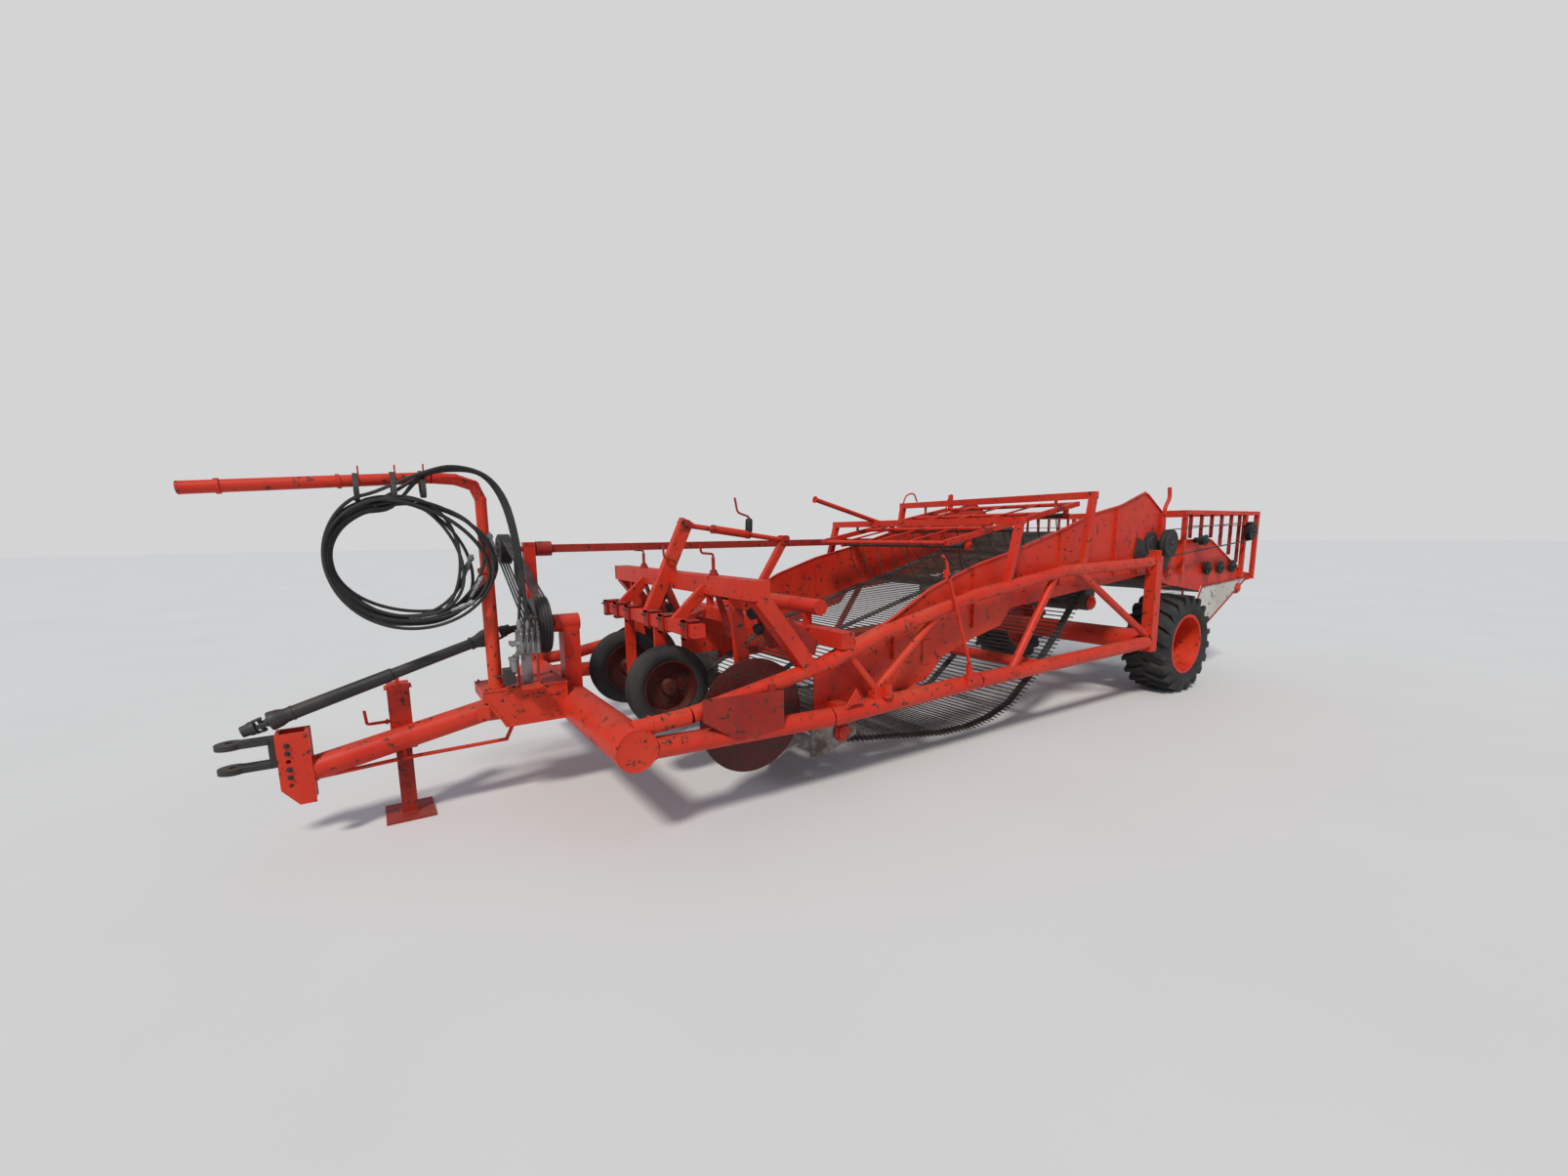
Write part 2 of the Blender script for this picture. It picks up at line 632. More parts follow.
digging_line = np.concatenate([
    arc((3080, 340), 85, 255, 118), [[3760, 800]], arc((6700, 1470), 105, 105, -72),
    arc((5800, 975), 75, 78, 192, 8),
    [[5560, 770], [5200, 420], [4900, 210], [4640, 130], [4400, 100], [4100, 110], [3700, 165]]])
rear_base = math.degrees(math.atan2(940 - 1180, 8640 - 7080))
rear_line = np.concatenate([arc((7080, 1180), 70, rear_base + 90, rear_base + 270),
                            arc((8640, 940), 70, rear_base - 90, rear_base + 90)])


def rod_web(name, line, node):
    """Rods, belts and rivet plates of one web."""
    places = evenly(line, ROD_PITCH)
    rods, belts = Shape(), Shape()
    ways = tangents(places, True)
    for (x, z), (tx, tz) in zip(places, ways):
        rods.rod((x, -WEB_HALF, z), (x, WEB_HALF, z), 11.0, 8)
        for y in BELT_Y:
            lift = np.array([-tz, 0, tx])
            at = np.array([x, y, z]) - lift * 8.5
            rods.bar(at + [0, -24, 0], at + [0, 24, 0], 18, 5, 1.2, (tx, 0, tz))
    fine = evenly(line, ROD_PITCH / 4)
    path = np.stack([fine[:, 0], np.zeros(len(fine)), fine[:, 1]], 1)
    swell = 1 + 0.32 * np.cos(np.arange(len(fine)) * math.pi / 2)
    for y in BELT_Y:
        section = box_section(1.0, 60.0, 0.0)[None] * np.stack(
            [9.5 * swell, np.ones_like(swell)], 1)[:, None, :]
        belts.carried(path + [0, y, 0], section, (0, 1, 0), True)
    print(name, len(places), "rods")
    rods.piece(name + "_rods", "dark_steel", "worn_steel", replaces=(node,))
    belts.piece(name + "_belts", "belt_rubber", "black_rubber")


# %% Webs
rod_web("digging_web", digging_line, "digging_web")
rod_web("rear_web", rear_line, "rear_web")

# %% [markdown]
# ## Rear tyres and rims
# A farm tyre is a smooth ring with deep bars in a chevron. The carcass is a profile turned round
# the axle. Each lug is a bar that starts at the middle of the tread, sweeps back to the shoulder
# and runs a little down the side, so its foot always follows the carcass's own profile.

# %% Tyre
AXLE_X, AXLE_Z, WHEEL_Y = 7260.0, 480.0, 930.0
TYRE_R, LUGS = 480.0, 20
LUG_ROOT = 6.0               # depth that a lug's foot reaches into the carcass
CARCASS = np.array([[0, 449], [90, 447], [150, 440], [185, 424], [204, 396], [213, 362], [207, 330],
                    [196, 304], [182, 291], [180, 270]], float)


def carcass_radius(side):
    """Height of the carcass at a distance from the tyre's middle plane."""
    return np.interp(side, CARCASS[:6, 0], CARCASS[:6, 1])


def rear_tyre(name, s, body):
    """Carcass, side rings and lugs of one tyre; s is -1 on the left."""
    centre = (AXLE_X, s * WHEEL_Y, AXLE_Z)
    outer = np.concatenate([CARCASS[::-1] * [-1, 1], CARCASS[1:]])
    inner = np.array([[150, 270], [160, 292], [176, 312], [190, 345], [184, 388], [150, 412],
                      [0, 420], [-150, 412], [-184, 388], [-190, 345], [-176, 312],
                      [-160, 292], [-150, 270]])
    tyre = Shape().turned(np.concatenate([outer, inner]), centre, (0, 1, 0), 120, True)
    for radius, depth in ((318, 4.0), (346, 3.0), (380, 3.5)):
        for side in (-1, 1):
            along = side * np.interp(radius, CARCASS[::-1][:6, 1], CARCASS[::-1][:6, 0])
            ring = np.array([[along, radius - 5], [along + side * depth, radius - 2],
                             [along + side * depth, radius + 2], [along, radius + 5],
                             [along - side * 4, radius]])
            tyre.turned(ring, centre, (0, 1, 0), 96, True)
    t = np.linspace(0, 1, 9)
    for side in (-1, 1):
        across = side * np.interp(t, [0, 0.75, 1], [4, 196, 211])
        base = carcass_radius(np.abs(across)) - LUG_ROOT
        base[-1] = 384
        top = np.interp(t, [0, 0.3, 0.75, 0.9, 1], [TYRE_R, TYRE_R - 1, TYRE_R - 9, 440, 392])
        sweep = 0.235 * t ** 0.85
        width = np.interp(t, [0, 0.2, 1], [15, 17, 24])
        for i in range(LUGS):
            middle = 2 * math.pi * (i + (0.5 if side > 0 else 0)) / LUGS + sweep
            corner = np.stack([(-1.35, 0), (-0.9, 1), (0.9, 1), (1.35, 0)])
            angle = middle[:, None] + corner[None, :, 0] * (width / base)[:, None]
            radius = base[:, None] + corner[None, :, 1] * (top - base)[:, None]
            grid = np.stack([centre[0] + radius * np.cos(angle),
                             centre[1] + np.broadcast_to(across[:, None], angle.shape),
                             centre[2] + radius * np.sin(angle)], -1)
            tyre.skin(grid)
    tyre.piece(name, "tyre", "tyre", body, (name.replace("_rubber", ""),))


# %% Rim
def rear_rim(name, s, body):
    """A deep dished wheel with a hub, nuts and a welded rim band."""
    centre, out = (AXLE_X, s * WHEEL_Y, AXLE_Z), (0, s, 0)
    disc = [[-186, 270], [-186, 292], [-192, 292], [-192, 264], [-150, 258], [-120, 252],
            [-74, 248], [-78, 190], [-96, 150], [-96, 78], [-112, 78], [-112, 35.4],
            [12, 35.4], [12, 0.01],
            [34, 0.01], [34, 34], [30, 48], [4, 52], [4, 84], [-30, 88], [-84, 88], [-84, 146],
            [-66, 186], [-60, 244], [-20, 250], [60, 250], [120, 254], [150, 258], [192, 264],
            [192, 292], [186, 292], [186, 270], [150, 264], [120, 262], [-120, 262], [-150, 266]]
    wheel = Shape().turned(disc, centre, out, 96, True)
    wheel.bolt_ring(centre, out, -84, 118, 8, 15)
    wheel.bolt_ring(centre, out, 3, 66, 6, 8, 0.8 * math.pi / 6, False)
    wheel.weld(np.array(centre) + np.array(out) * -60, out, 247, 4)
    wheel.piece(name, "red_paint", "red_paint", body, (name.replace("_wheel", ""),))


for side_name, s in (("left", -1), ("right", 1)):
    rear_tyre(f"tyre_{side_name}_rubber", s, f"wheel_{side_name}")
    rear_rim(f"rim_{side_name}_wheel", s, f"wheel_{side_name}")

# %% [markdown]
# ## Guide wheels and discs
# Between the ridges run two narrow wheels with ribbed rubber, and a plain disc stands on each side.
# Both are turned profiles: zigzags across the tread make the ribs.

# %% Guide wheels and disc hubs
for side_name, s in (("left", -1), ("right", 1)):
    centre, out = np.array([2160, s * 375, 650.0]), np.array([0, s, 0.0])
    ribs = [[x, 265 - (7 if i % 2 else 0) - abs(x) * 0.12] for i, x in enumerate(range(-54, 55, 6))]
    rubber = Shape().turned([[62, 240], [70, 222], [66, 192], [56, 176], [-56, 176], [-66, 192],
                             [-70, 222], [-62, 240], *ribs], centre, out, 72, True)
    body = f"guide_{side_name}"
    rubber.piece(f"guide_tyre_{side_name}", "tyre", "tyre", body, (f"guide_wheel_{side_name}",))
    hub = Shape().turned([[-52, 175], [-58, 175], [-58, 165], [-20, 158], [-12, 60], [-50, 46],
                          [-50, 18.3], [30, 18.3], [30, 0.01], [52, 0.01], [52, 30], [46, 46],
                          [0, 52], [-4, 150], [30, 160], [58, 165], [58, 175], [52, 175]],
                         centre, out, 64, True)
    hub.bolt_ring(centre, out, -3, 90, 5, 11, 0.3)
    hub.piece(f"guide_rim_{side_name}", "soiled_paint", "dark_red_paint", body)
    centre = np.array([2460, s * 930, 540.0])
    cap = Shape().turned([[8, 60], [8, 118], [16, 122], [22, 112], [24, 70], [44, 62], [52, 40],
                          [60, 34], [62, 0.01]], centre, out, 40)
    cap.bolt_ring(centre, out, 22, 96, 6, 11)
    cap.piece(f"disc_hub_{side_name}", "soiled_paint", "dark_red_paint", f"disc_{side_name}")

# %% [markdown]
# ## Belt drives
# The input pulley drives the long shaft through four wedge belts, and one flat belt runs along the
# left side of the rear end. A belt's line is two arcs joined by straight runs. Grooves are sleeves
# over the solid pulleys, with a ridge on both sides of each belt.

# %% Belts and pulleys
PULLEY_X = 1500.0
LOW, HIGH = (0.0, 1060.0, 165.0), (1020.0, 1500.0, 100.0)     # y, z, radius
BELT_PLANE, SPROCKET_Z = -1056.0, 1190.0


def belt_round(p, q, margin):
    """A closed line round two circles (u, v, radius), kept outside them by the margin."""
    (pu, pv, pr), (qu, qv, qr) = p, q
    base = math.degrees(math.atan2(qv - pv, qu - pu))
    off = math.degrees(math.acos((pr - qr) / math.hypot(qu - pu, qv - pv)))
    return np.concatenate([arc((pu, pv), pr + margin, base + off, base + 360 - off, 28),
                           arc((qu, qv), qr + margin, base - off, base + off, 28)])


belts = Shape()
front_line = belt_round(LOW, HIGH, 6.5)
for x in PULLEY_X + np.array([-27.0, -9.0, 9.0, 27.0]):
    path = np.stack([np.full(len(front_line), x), front_line[:, 0], front_line[:, 1]], 1)
    wedge = np.array([[4.5, -6.5], [4.5, 6.5], [-4.5, 4.5], [-4.5, -4.5]])
    belts.carried(path, wedge, (1, 0, 0), True)
rear_belt = belt_round((6890, 1460, 120), (8640, 1560, 90), 5)
path = np.stack([rear_belt[:, 0], np.full(len(rear_belt), BELT_PLANE), rear_belt[:, 1]], 1)
belts.carried(path, box_section(7, 30, 1.5), (0, 1, 0), True)
belts.piece("wedge_belts", "belt_rubber", "black_rubber", replaces=("drive_belts",))


def grooved(shape, centre, axis, radius, grooves, pitch):
    """A sleeve with grooves over a plain pulley: ridges at radius + 9, grooves at radius + 1."""
    half = grooves * pitch / 2 + 3
    edge = [[-half, radius + 8]]
    for i in range(grooves):
        mid = (i - (grooves - 1) / 2) * pitch
        edge += [[mid - pitch * 0.44, radius + 9], [mid - pitch * 0.2, radius + 1],
                 [mid + pitch * 0.2, radius + 1], [mid + pitch * 0.44, radius + 9]]
    edge += [[half, radius + 8], [half, radius - 12], [-half, radius - 12]]
    shape.turned(edge, centre, axis, 72, True)


drive = Shape()
for v in (LOW, HIGH):
    centre = (PULLEY_X, v[0], v[1])
    grooved(drive, centre, (1, 0, 0), v[2], 4, 18.0)
    drive.turned([[-66, 0.01], [-66, 24], [-58, 30], [-40.5, 46], [-40.5, v[2] * 0.72],
                  [-46, v[2] * 0.78], [-46, v[2] - 6], [-40.5, v[2] - 2], [-38, 20], [-38, 0.01]],
                 centre, (1, 0, 0), 60)
    drive.bolt_ring(centre, (-1, 0, 0), 41, v[2] * 0.5, 6, 9)
for x, z, r in ((6890, 1460, 120), (8640, 1560, 90), (7570, 1480, 45)):
    for y in (-1034, -1078):
        flange = [[-3, r - 3], [-3, r + 9], [3, r + 9], [3, r - 3]]
        drive.turned(flange, (x, y, z), (0, 1, 0), 64, True)
    drive.turned([[50, 0.01], [50, 14], [46, 18], [32, 22], [27, 40], [27, r * 0.8], [31, r - 6],
                  [27, r - 1], [22, r - 2], [22, 0.01]], (x, BELT_PLANE, z), (0, -1, 0), 56)
    drive.bolt_ring((x, BELT_PLANE, z), (0, -1, 0), 26, r * 0.55, 5, 7, math.pi)
for x in (7830, 8120, 8400):
    a = np.linspace(0, 2 * math.pi, 96, endpoint=False)
    tooth = 62 + 5 * np.clip(np.cos(a * 24) * 2, -1, 1)
    rim = np.stack([x + tooth * np.cos(a), SPROCKET_Z + tooth * np.sin(a)], 1)
    drive.slab(rim, -1013, -1022, 1.0)
    drive.turned([[0, 34], [16, 30], [18, 22], [30, 20], [32, 0.01]], (x, -1020, SPROCKET_Z),
                 (0, -1, 0), 32)
    drive.bolt_ring((x, -1022, SPROCKET_Z), (0, -1, 0), 0, 46, 4, 7)
drive.piece("pulley_faces", "black_metal", "black_metal")

# %% [markdown]
# ## Drive shaft to the tractor
# The shaft lies in a plastic guard that flares at both ends over a cross joint. The guard is one
# turned profile along the shaft, and each joint is two forks and a cross.

# %% Drive shaft
shaft = Shape()
SHAFT_LOW, SHAFT_HIGH = np.array([165.0, 0, 683.0]), np.array([1215.0, 0, 1015.0])
way = unit(SHAFT_HIGH - SHAFT_LOW)
reach = float(np.linalg.norm(SHAFT_HIGH - SHAFT_LOW))
guard = [[0, 20], [0, 47], [6, 50], [44, 46], [70, 37], [92, 36], [96, 39], [104, 39], [108, 36],
         [reach * 0.52, 35], [reach * 0.52 + 4, 30], [reach - 118, 29.5], [reach - 112, 38],
         [reach - 104, 38], [reach - 98, 34], [reach - 80, 36], [reach - 40, 50], [reach - 4, 55],
         [reach, 52], [reach, 20]]
shaft.turned(guard, SHAFT_LOW, way, 32)
for at, back in ((SHAFT_LOW, -1), (SHAFT_HIGH, 1)):
    w = way * back
    e, f = square_to(w)
    middle = at + w * 34
    shaft.rod(at - w * 14, at + w * 12, 46, 20)
    for d, turn in ((e, -1), (f, 1)):
        for sign in (-1, 1):
            arm = middle + d * sign * 31
            shaft.bar(arm - w * turn * -30, arm - w * turn * 12, 26, 11, 3, f if turn < 0 else e)
        shaft.rod(middle - d * 38, middle + d * 38, 20, 16)
    shaft.turned([[22, 24], [26, 34], [44, 36], [60, 30], [84, 28], [84, 16]], middle, w, 28)
shaft.rod((1290, 0, 1040), (1452, 0, 1060), 42, 24)
shaft.piece("pto_shaft_guard", "black_metal", "black_metal", replaces=("pto_shaft",))

# %% [markdown]
# ## Hitch, drawbar and jack
# The clevis is bolted to a row of holes so that its height can be set. Small plates, nuts and weld
# beads tell that these tubes were cut and joined by hand.

# %% Hitch and jack details
hitch = Shape()
for z in (450, 600):
    hitch.turned([[-3, 18], [-3, 52], [0, 55], [3, 52], [3, 18]], (0, 0, z), (0, 0, 1), 40, True)
for i in range(6):
    for s in (-1, 1):
        if i in (1, 2, 4, 5):
            hitch.bolt((225, s * 64, 350 + i * 42), (0, s, 0), 12)
for s in (-1, 1):
    hitch.slab([(60, 452), (180, 452), (180, 474), (96, 474)], s * 30, s * 42)
    hitch.slab([(60, 600), (180, 600), (180, 574), (96, 574)], s * 30, s * 42)
    hitch.bolt((150, s * 42, 463), (0, s, 0), 9)
    hitch.bolt((150, s * 42, 587), (0, s, 0), 9)
hitch.piece("clevis_bolts", "black_metal", "black_metal")
bolts = Shape()
joins = Shape()
joins.weld((318, 0, 404), (0.98, 0, 0.2), 66, 5).weld((1150, 0, 575), (1, 0, 0), 66, 3)
joins.weld((1566, 0, 566), (1, 0, 0), 66, 6).weld((1210, -100, 730), (0, 0, 1), 38, 4)
joins.weld((1210, -100, 1420), (0, 0, 1), 31, 4)
for s in (-1, 1):
    joins.weld((1670, s * 1144, 550), (0, 1, 0), 106, 4)
    joins.weld((1779, s * FRAME_Y, 529), (1, 0, 0), 58, 6)
    joins.weld((1766, s * FRAME_Y, 648), (1, 0, 0.1), 46, 5)
    joins.weld((6660, s * 640, 568), (1, 0, 0), 60, 5)
    for x, z, d in ((2900, 492, 57), (4230, 530, 57)):
        joins.weld((x, s * FRAME_Y, z), (1, 0, 0), d, 2.5)
    for x, z in ((3290, 958), (4200, 1150), (5230, 1275)):
        joins.weld((x, s * FRAME_Y, z), (1, 0, 0.2), 45.5, 2.5)
    for x, z in ((3700, 515), (5000, 541)):
        joins.weld((x, s * 1022, z), (0, 1, 0), 46, 4)
    joins.weld((6610, s * 1028, 570), (0, 1, 0), 100, 5)
jack = Shape()
JACK_X, JACK_Y = 730.0, 135.0
for z in (404, 756):
    for dx, dy, w, h in ((0, -1, 122, 6), (0, 1, 122, 6), (-1, 0, 6, 110), (1, 0, 6, 110)):
        cx, cy = JACK_X + dx * 58, JACK_Y + dy * 58
        jack.bar((cx, cy - h / 2, z), (cx, cy + h / 2, z), w, 20, 1.5, (0, 0, 1))
jack.bent([(660, 135, 560), (575, 135, 560), (566, 135, 566), (560, 135, 640)], 14, 16, 12)
jack.turned([[0, 16], [8, 16], [10, 12], [14, 12]], (668, 135, 560), (-1, 0, 0), 20)
jack.slab([(770, 420), (800, 440), (800, 480), (770, 500)], 128, 142)
for z in (436, 506):
    bolts.bolt((700, 20, z + 6), (0, 0, 1), 9)
    bolts.bolt((760, 20, z + 6), (0, 0, 1), 9)
jack.piece("jack_collars", "red_paint", "red_paint")
foot = Shape()
corners = np.array([(690, 95, 13), (770, 95, 13), (770, 175, 13), (690, 175, 13)], float)
for a, b in zip(corners, np.roll(corners, -1, 0)):
    foot.pipe([a, (a + b) / 2, b], 10, 8, (0, 0, 1))
for z in range(120, 400, 60):
    foot.turned([[0, 9], [2.5, 11], [2.5, 7], [0, 6]], (730, 94.5, z), (0, -1, 0), 20, True)
foot.piece("jack_leg_welds", "dark_red_paint", "dark_red_paint", "jack_leg")

# %% [markdown]
# ## Console, valves and mast
# Behind the drawbar a folded box carries the valve block, its couplings and levers, a small oil
# filter and a switch box. The mast turns in a sleeve and is fixed by a set screw.

# %% Console details
console = Shape()
console.slab([(1128, 716), (1128, 724), (1602, 724), (1602, 716)], -166, 166, 2)
console.slab([(1150, 640), (1245, 500), (1255, 508), (1162, 650)], -168, -160, 2)
console.slab([(1590, 500), (1600, 500), (1600, 716), (1590, 716)], -168, -160, 2)
console.slab([(1330, 724), (1440, 724), (1440, 740), (1330, 740)], -262, -110, 2)
for x in (1150, 1300, 1450, 1580):
    for y in (-150, 150):
        bolts.bolt((x, y, 724), (0, 0, 1), 9)
console.bar((1330, -150, 735), (1330, -150, 930), 50, 8, 2, (0, 1, 0))
console.bar((1440, -150, 735), (1440, -150, 930), 50, 8, 2, (0, 1, 0))
console.slab([(1100, 560), (1160, 560), (1160, 640), (1100, 640)], -172, -100, 3)
console.piece("console_plates", "red_paint", "red_paint")
valves = Shape()
for i in range(4):
    x = 1342 + i * 28
    valves.bar((x, -266, 940), (x, -266, 1050), 22, 16, 3)
    valves.turned([[0, 11], [14, 11], [18, 8], [44, 8]], (x, -262, 1040), (0, -0.3, 1), 14)
    valves.bolt((x, -274, 960), (0, -1, 0), 7)
    valves.bolt((x, -274, 1020), (0, -1, 0), 7)
for x, y in ((1385, -240), (1385, -195), (1385, -150)):
    valves.turned([[0, 22], [10, 22], [12, 17], [30, 17]], (x, y, 1058), (0, 0, 1), 6)
for y in (-235, -200, -165):
    valves.turned([[0, 15], [12, 15], [14, 11], [30, 11], [32, 14], [44, 14]], (1332, y, 990),
                  (-1, 0, 0), 6)
valves.turned([[0, 26], [60, 26], [66, 22], [74, 22], [78, 12], [90, 10]], (1300, -215, 905),
              (0, 0, -1), 24)
valves.turned([[-4, 30], [10, 30], [10, 20]], (1300, -215, 905), (0, 0, 1), 24)
valves.bar((1300, -215, 915), (1345, -200, 940), 30, 20, 3)
valves.piece("valve_sections", "grey_metal", "grey_metal")
black = Shape()
black.slab([(1240, 760), (1300, 760), (1300, 850), (1240, 850)], -230, -160, 4)
black.bar((1270, -160, 800), (1210, -130, 800), 40, 6, 1.5)
for i in range(3):
    black.bent([(1345 + i * 30, -272, 1000), (1345 + i * 30, -300, 1040),
                (1350 + i * 30, -318, 1130)], 20, 9, 10, (1, 0, 0))
    black.turned([[0, 8], [6, 12], [16, 14], [24, 12], [30, 0.01]],
                 (1350 + i * 30, -316, 1125), (0.05, -0.2, 1), 18)
black.piece("valve_levers", "black_metal", "black_metal")
mast = Shape()
mast.turned([[0, 46], [0, 38], [26, 38], [26, 46]], (1210, -100, 1394), (0, 0, 1), 40, True)
mast.turned([[0, 50], [0, 38], [16, 38], [16, 50]], (1210, -100, 730), (0, 0, 1), 40, True)
bolts.bolt_ring((MAST_X, MAST_Y, 731), (0, 0, 1), 0, 46, 4, 9, math.pi / 4)
for x in (100.0, 560.0):
    mast.turned([[0, 36], [0, 29], [18, 29], [18, 36]], (x, MAST_Y, arm_height(x)),
                (1, 0, 0.08), 32, True)
mast.turned([[-4, 0.01], [-4, 26], [0, 31], [6, 31]], (-30, -100, 1830), (1, 0, 0.08), 32)
mast.bent([(1210, -164, 1390), (1210, -190, 1390), (1232, -192, 1390), (1250, -192, 1390)],
          10, 9, 10, (0, 0, 1))
for x in (640.0, 800.0, 930.0):
    z = arm_height(x)
    mast.bent([(x + 14, -100, z + 28), (x + 14, -100, z + 62), (x + 14, -118, z + 70)], 10, 8, 10,
              (1, 0, 0))
mast.piece("mast_collars", "red_paint", "red_paint")

# %% [markdown]
# ## Tools over the ridges
# The top link is a threaded tube with a crank, the guide wheels hang on a square bar in bolted
# clamps, and the discs' hangers lean on rubber buffers. These small parts are what makes a
# hitch look used, so each gets its nuts, pins and handles.

# %% Top link, cranks and clamps
tools = Shape()
screw_a, screw_b = np.array([2480, 0, 1660.0]), np.array([3290, 0, 1545.0])
way = unit(screw_b - screw_a)
for along, r in ((222, 34), (250, 30), (480, 30), (508, 34)):
    tools.turned([[-9, 18], [-9, r], [9, r], [9, 18]], screw_a + way * along, way, 6, True)
for end, other in ((screw_a, screw_b), (screw_b, screw_a)):
    tools.rod(end + [0, -46, 0], end + [0, 46, 0], 26, 16)
    for y in (-46, 46):
        tools.bolt(end + [0, y, 0], (0, math.copysign(1, y), 0), 12)
    for y in (-34, 34):
        eye = np.array([(-34, -34), (34, -34), (34, 22), (18, 34), (-18, 34), (-34, 22)])
        tools.slab(eye + end[[0, 2]], y - 6, y + 6, 2)
tools.bent([(3000, 0, 1640), (3000, 0, 1715), (2900, 0, 1745), (2880, 0, 1850)], 26, 15, 12)
tools.bent([(2380, -60, 1345), (2380, -60, 1420), (2300, -60, 1445), (2296, -60, 1530)], 22, 15, 12)
for y in (-560, 600):
    tools.rod((2410, y, 1345), (2410, y, 1455), 22, 14)
    tools.turned([[0, 30], [14, 30], [18, 22], [34, 22]], (2410, y, 1345), (0, 0, 1), 6)
    tools.bent([(2410, y, 1450), (2410, y, 1476), (2330, y, 1484), (2326, y, 1536)], 16, 14, 12)
for y in (-760, -420, -180, 180, 420, 640):
    for x in (2113, 2207):
        tools.bar((x, y, 1004), (x, y, 1116), 70, 14, 2.5, (0, 1, 0))
    for z in (1010, 1110):
        tools.bar((2106, y, z), (2214, y, z), 70, 12, 2.5, (0, 1, 0))
    for x in (2090, 2230):
        for dy in (-22, 22):
            way = -1 if x < 2160 else 1
            bolts.bolt((x - 10 * way, y + dy, 1092), (way, 0, 0), 9)
for s in (-1, 1):
    tools.bar((2590, s * 700, 1260), (2750, s * 700, 890), 60, 60, 5)
    tools.bar((2465, s * 700, 1262), (2620, s * 700, 1262), 70, 50, 4)
    tools.bar((2720, s * 700, 900), (2960, s * 700, 965), 50, 40, 4)
    tools.bar((2410, s * 600, 1240), (2500, s * 600, 960), 60, 16, 3)
    for x, z in ((2480, 1180), (2440, 1080), (2466, 860), (2450, 700)):
        bolts.bolt((x, s * (820 + 13), z), (0, s, 0), 10)
    tools.slab([(2370, 1160), (2450, 1160), (2490, 900), (2490, 840), (2420, 840), (2410, 900)],
               s * 833, s * 841, 2)
    tools.slab([(2560, 1010), (2720, 880), (2830, 880), (2850, 960), (2640, 1120)], s * 1036,
               s * 1026, 2)
    for x, z in ((2640, 1030), (2700, 950), (2780, 920)):
        bolts.bolt((x, s * 1027, z), (0, -s, 0), 9)
tools.piece("tool_clamps", "dark_red_paint", "dark_red_paint")
buffers = Shape()
for s in (-1, 1):
    for t in (0.35, 0.62):
        at = np.array([2590 + 160 * t, s * 700, 1260 - 370 * t])
        buffers.turned([[0, 20], [4, 34], [22, 38], [40, 34], [44, 20]], at + [-34, 0, -14],
                       (-0.92, 0, -0.4), 24)
    for y in (-20, 20):
        buffers.turned([[0, 16], [4, 26], [30, 28], [34, 18]], (2500, s * 560 + y, 1226),
                       (0, 0, -1), 20)
buffers.turned([[0, 10], [0, 20], [12, 26], [90, 26], [104, 18], [104, 10]], (2990, 0, 1600),
               (0.05, 0, 1), 20)
buffers.piece("rubber_buffers", "black_rubber", "black_rubber")

# %% [markdown]
# ## Walls, portals and rake
# Thin side walls would flap, so their edges are folded over and bolted plates stiffen them. Rows of
# bolts show where bearings, scrapers and the walls' hangers sit.

# %% Walls and side frames
walls = Shape()
TOP_EDGE = [(2860, 830), (3460, 1020), (3860, 1220), (4310, 1360), (4740, 1450), (5350, 1610),
            (5750, 1730), (6200, 1810), (6570, 1930), (6940, 1720)]
UPPER_TUBE = ((1980, 2900, 3290, 4200, 5230, 6610), (660, 830, 958, 1150, 1275, 1300))
REAR_EDGE = [(6946, 1420), (7230, 1490), (7900, 1490), (8700, 1120), (8940, 1090)]
for s in (-1, 1):
    for edge in (TOP_EDGE, REAR_EDGE):
        path = rounded([(x, s * WALL_Y, z - 5) for x, z in edge], 60)
        walls.carried(path, box_section(9, 26, 2))
    for x, z0, z1 in ((3500, 760, 1010), (4280, 900, 1330), (5300, 1150, 1570), (6100, 1200, 1770),
                      (6860, 1230, 1740)):
        walls.bar((x, s * 979, z0), (x, s * 979, z1), 40, 7, 1.5, (0, 1, 0))
        for z in np.arange(z0 + 30, z1 - 20, 90):
            bolts.bolt((x, s * 983, z), (0, s, 0), 8)
    walls.slab([(3780, 690), (3860, 690), (3860, 860), (3780, 860)], s * WALL_Y,
               s * (WALL_Y + 8), 2)
    for x, z in ((3080, 340), (6700, 1470), (5800, 975), (7080, 1180), (8640, 940)):
        walls.turned([[0, 62], [6, 62], [9, 44], [24, 40], [26, 22], [30, 20], [30, 0.01]],
                     (x, s * 977, z), (0, s, 0), 32)
        if x != 6700 or s < 0:
            bolts.bolt_ring((x, s * (WALL_Y + 7), z), (0, s, 0), 0, 52, 4, 8, math.pi / 4)
    for x in (3420, 4200, 5230, 6400):
        z = float(np.interp(x, *UPPER_TUBE))
        for dx in (-24, 24):
            bolts.bolt((x + dx, s * 1040, z + 20), (0, 0, 1), 8)
    walls.bar((6610, s * 1134, 1352), (6610, s * 1026, 1352), 108, 8, 2, (0, 0, 1))
    walls.slab([(6500, 640), (6560, 640), (6560, 700), (6440, 640)], s * 1072, s * 1088, 2)
    walls.slab([(6500, 1240), (6562, 1180), (6562, 1262), (6500, 1258)], s * 1072, s * 1088, 2)
    walls.slab([(2980, 560), (3120, 560), (3060, 660)], s * 1136, s * 1144, 2)
    walls.bar((3320, s * 1110, 640), (3320, s * 1110, 560), 90, 50, 4, (0, 1, 0))
    for x in (4560, 4650):
        bolts.bolt((x, s * 1132, 1010 - x * 0.1), (0, s, 0), 8)
walls.piece("wall_edges", "red_paint", "red_paint")
rake = Shape()
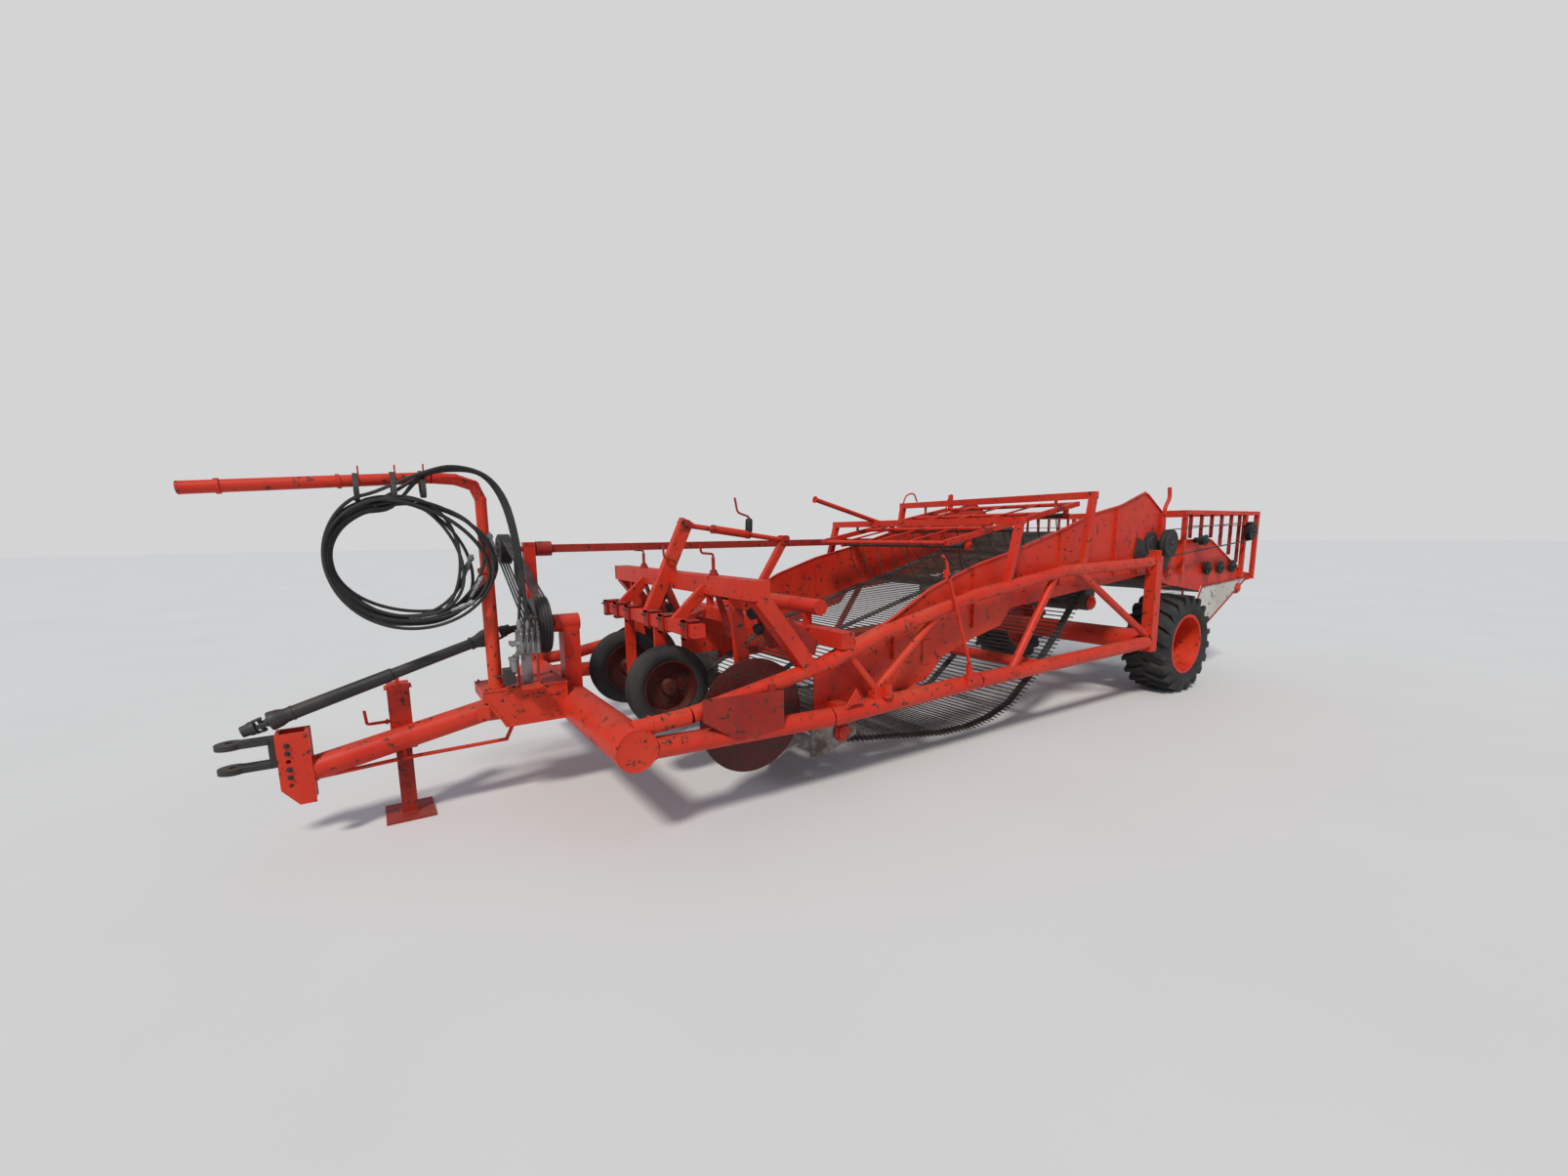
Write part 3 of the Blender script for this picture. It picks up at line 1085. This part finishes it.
RAKE_A, RAKE_B = (4230.0, 1510.0), (5890.0, 1820.0)


def rake_height(x):
    """Height of the rake's side rails at x."""
    return RAKE_A[1] + (RAKE_B[1] - RAKE_A[1]) * (x - RAKE_A[0]) / (RAKE_B[0] - RAKE_A[0])


for s in (-1, 1):
    for x in (4480, 5100, 5720):
        z = rake_height(x) - 70
        rake.turned([[0, 30], [10, 30], [13, 22], [13, 0.01]], (x, s * 758, z), (0, s, 0), 24)
        bolts.bolt((x, s * 771, z), (0, s, 0), 9)
    for x in (4650, 5570):
        bolts.bolt((x, s * 771, rake_height(x)), (0, s, 0), 10)
for y in (-380, 0, 380):
    rake.rod((4230, y, 1510 + 12), (5890, y, 1820 + 12), 16, 10)
rake.bent([(3960, 500, 1880), (4800, 500, 1655)], 10, 40, 18)
rake.turned([[0, 30], [0, 20], [10, 20], [10, 30]], (3960, 500, 1880), (-0.97, 0, 0.26), 28, True)
rake.bent([(4790, 300, 1630), (4790, 300, 1800), (4850, 300, 1930), (4950, 300, 1950),
           (4990, 300, 1870)], 40, 14, 12)
rake.bent([(5410, 320, 1745), (5410, 320, 1880), (5480, 320, 1950)], 40, 14, 12)
rake.bar((5890, 700, 1825), (5890, 700, 1975), 40, 40, 4, (0, 1, 0))
rake.bent([(6990, -955, 1440), (6975, -955, 1790), (7060, -955, 1880), (7040, -955, 1980)],
          60, 34, 16)
rake.piece("rake_rails", "red_paint", "red_paint")

# %% [markdown]
# ## Rear end
# Behind the axle a second web drops the crop. Its sides carry a guard of black plate, wire mesh, a
# pale panel with a red frame, and upright posts.

# %% Rear end
guard = Shape()
guard.slab([(6420, 1350), (6470, 1520), (6740, 1440), (6960, 1560), (7120, 1350), (6960, 1170)],
           -985, -993, 2)
for x, z in ((6470, 1400), (6500, 1480), (6740, 1400), (6960, 1500), (7060, 1360), (6940, 1220)):
    bolts.bolt((x, -993, z), (0, -1, 0), 9)
guard.turned([[0, 92], [4, 100], [10, 100], [14, 84], [14, 60], [22, 52], [22, 0.01]],
             (6700, -990, 1470), (0, -1, 0), 48)
guard.piece("drive_guard", "black_metal", "black_metal")
rear = Shape()
mesh_wires = Shape()
for s in (-1, 1):
    frame_path = rounded([(7712, s * 985, 862), (7796, s * 985, 1004), (8862, s * 985, 1054),
                          (7934, s * 985, 592), (7712, s * 985, 862)], 12)
    rear.carried(frame_path[:-1], box_section(16, 12, 3), (0, 1, 0), True)
    for x in (7420, 7640, 7860, 8080, 8300, 8500):
        low = 1500 - max(x - 7900, 0) * 0.46
        rear.bar((x, s * REAR_Y, low), (x, s * REAR_Y, 1732), 34, 10, 2, (0, 1, 0))
        bolts.bolt((x, s * 1001, 1716), (0, s, 0), 8)
    rear.bar((7300, s * REAR_Y, 1620), (8640, s * REAR_Y, 1620), 36, 8, 2, (0, 1, 0))
    for x in np.arange(6760.0, 7460.0, 25):
        mesh_wires.rod((x, s * 958, 800), (x, s * 958, 1040), 3, 6)
    for z in np.arange(800.0, 1041.0, 25):
        mesh_wires.rod((6760, s * 961, z), (7440, s * 961, z), 3, 6)
    for x0, z0, x1, z1 in ((6750, 800, 7450, 800), (6750, 1045, 7450, 1045),
                           (6750, 800, 6750, 1060), (7450, 800, 7450, 1100)):
        rear.bar((x0, s * 962, z0), (x1, s * 962, z1), 16, 16, 2)
for x in (7300, 8930):
    rear.weld((x, -996, 1730), (0, 0, 1), 22, 3).weld((x, 996, 1730), (0, 0, 1), 22, 3)
rear.piece("rear_frame_trim", "dark_red_paint", "dark_red_paint")
mesh_wires.piece("rear_mesh", "dark_steel", "worn_steel")
bits = Shape()
y = -1132.0
bits.bar((4085, y, 600), (4085, y, 680), 30, 30, 3)
bits.bar((3835, -1128, 1290), (3835, -1128, 1345), 30, 30, 3)
for z in (540, 560, 780):
    bits.turned([[0, 20], [10, 20], [12, 14]], (4100 if z < 700 else 4050, -1128, z), (0, -1, 0), 6)
bits.bent([(3838, -1134, 1330), (3830, -1134, 1400), (3790, -1134, 1440)], 30, 20, 12)
bits.piece("lever_joints", "red_paint", "red_paint")
joins.piece("weld_beads", "red_paint", "red_paint")
bolts.piece("frame_bolts", "dark_steel", "worn_steel")
